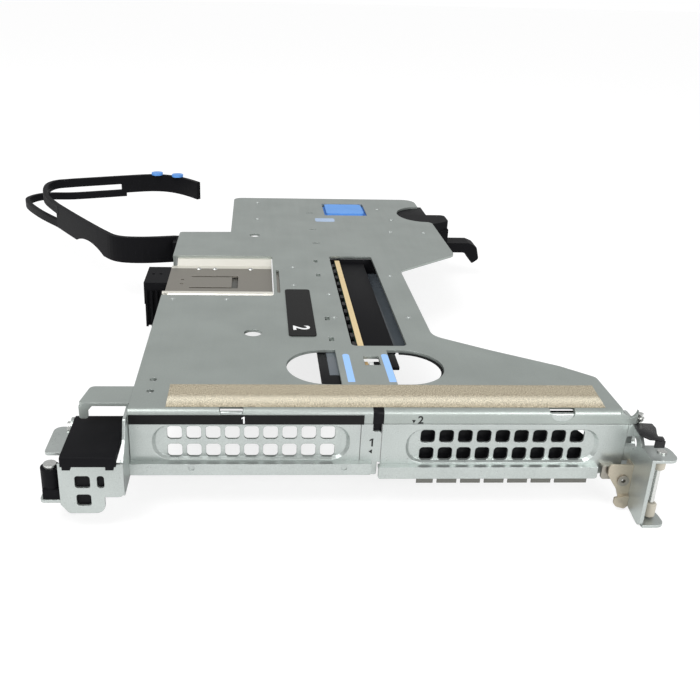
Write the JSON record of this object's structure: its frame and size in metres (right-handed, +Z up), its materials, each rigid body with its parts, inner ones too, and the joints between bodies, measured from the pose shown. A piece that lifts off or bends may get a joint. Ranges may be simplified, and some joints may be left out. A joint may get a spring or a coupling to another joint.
{
  "type": "riser cage bracket",
  "caption": "Low-profile riser cage for a 1U server: folded sheet with perforated slot blanks, vertical riser board, end latches, spring clip and a cable retention arm.",
  "frame": {"origin": "on the riser board's mid-plane in X, on the front face in Y, at the level of the feet in Z", "axes": "+X right seen from the front, +Y into the server, +Z up"},
  "size_m": [0.2972, 0.3751, 0.0386],
  "materials": {
    "zinc_sheet": "zinc-plated steel sheet, fine matte texture",
    "bright_zinc": "zinc-plated steel, brighter on the front faces",
    "stainless": "brushed stainless spring steel",
    "steel_pin": "bright turned steel",
    "beige_nylon": "natural nylon",
    "beige_steel": "warm satin spring steel",
    "gasket_weave": "woven conductive cloth over foam",
    "black_plastic": "fine-grained black plastic",
    "black_gloss": "dark glossy plastic",
    "black_film": "black insulating film",
    "black_label": "satin black label",
    "board_green": "green solder mask with a bare tan edge",
    "component_grey": "dark chips and capacitors",
    "blue_plastic": "blue touch-point plastic"
  },
  "bodies": {
    "cage": {"top_sheet": "zinc_sheet", "centre_post": "bright_zinc", "slot_blank_1": "bright_zinc", "slot_blank_2": "bright_zinc", "lower_rail_1": "bright_zinc", "lower_rail_2": "bright_zinc", "emi_finger_strip": "stainless", "emi_gasket_tape": "gasket_weave", "left_end_box": "bright_zinc", "cover_pin": "steel_pin", "left_guide_block": "black_plastic", "guide_stud": "steel_pin", "left_ear": "zinc_sheet", "right_end_bracket": "bright_zinc", "roller_pin": "steel_pin", "catch_lever": "beige_steel", "catch_eyelet": "stainless", "latch_pad": "black_gloss", "pad_pin": "steel_pin", "silver_tab": "stainless", "clip_plate": "stainless", "clip_rivets": "steel_pin", "card_retainer": "black_plastic", "riser_board": "board_green", "slot_1_connector": "black_plastic", "slot_2_connector": "black_plastic", "board_bracket": "zinc_sheet", "board_screws": "steel_pin", "board_components": "component_grey", "insulator_film": "black_film", "riser_label_plate": "black_label", "slot_label_strip": "black_label", "rear_touch_pad": "blue_plastic", "cable_arm": "black_plastic", "arm_grip": "blue_plastic", "rear_hook": "black_plastic", "top_rivets": "steel_pin"},
    "latch_cover": {"left_cover": "black_plastic"},
    "top_wheel": {"upper_roller": "beige_nylon"},
    "bottom_wheel": {"lower_roller": "beige_nylon"}
  },
  "joints": [
    {"name": "cover_hinge", "type": "hinge", "parent": "cage", "child": "latch_cover", "pos_m": [-0.095, 0.0105, 0.0245], "axis": [-1, 0, 0], "range_deg": [0, 18]},
    {"name": "upper_roller_spin", "type": "hinge", "parent": "cage", "child": "top_wheel", "pos_m": [0.0942, -0.0095, 0.02], "axis": [0, 0, 1], "continuous": true},
    {"name": "lower_roller_spin", "type": "hinge", "parent": "cage", "child": "bottom_wheel", "pos_m": [0.0942, -0.0095, 0.004], "axis": [0, 0, 1], "continuous": true}
  ]
}
